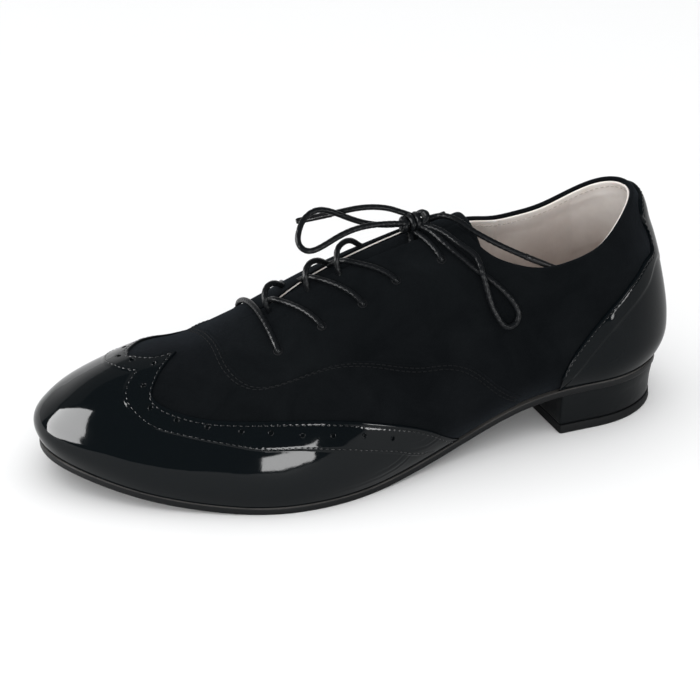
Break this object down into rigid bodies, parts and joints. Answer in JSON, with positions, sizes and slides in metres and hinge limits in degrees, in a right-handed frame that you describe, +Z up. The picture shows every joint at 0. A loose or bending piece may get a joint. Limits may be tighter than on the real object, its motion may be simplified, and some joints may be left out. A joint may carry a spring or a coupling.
{
  "type": "ballroom dance shoe",
  "caption": "Low-heeled laced oxford dance shoe for the left foot, with suede upper, patent wing cap and patent heel counter.",
  "frame": {"origin": "on the floor under the middle of the heel, on the flat underside of the heel top piece", "axes": "+X to the toe, +Y to the outer side of the left foot, +Z up"},
  "size_m": [0.2833, 0.1082, 0.1059],
  "materials": {
    "suede": "matte napped suede",
    "patent": "high gloss patent",
    "lining": "smooth off-white lining leather",
    "sole": "dark split leather with a dyed edge",
    "heel_cover": "smooth satin leather cover",
    "heel_rubber": "matte",
    "lace": "waxed round braid",
    "lace_tip": "satin"
  },
  "bodies": {
    "root": {"upper": "suede", "wing_cap": "patent", "heel_counter": "patent", "tongue": "suede", "insole": "lining", "outsole": "sole", "heel_block": "heel_cover", "heel_top_piece": "heel_rubber", "lace_bar": "lace", "lace_cross_1": "lace", "lace_cross_2": "lace", "lace_cross_3": "lace", "lace_cross_4": "lace", "lace_knot": "lace", "lace_loop_outer": "lace", "lace_loop_front": "lace", "lace_end_front": "lace", "lace_tip_front": "lace_tip", "lace_end_back": "lace", "lace_tip_back": "lace_tip"}
  },
  "joints": []
}
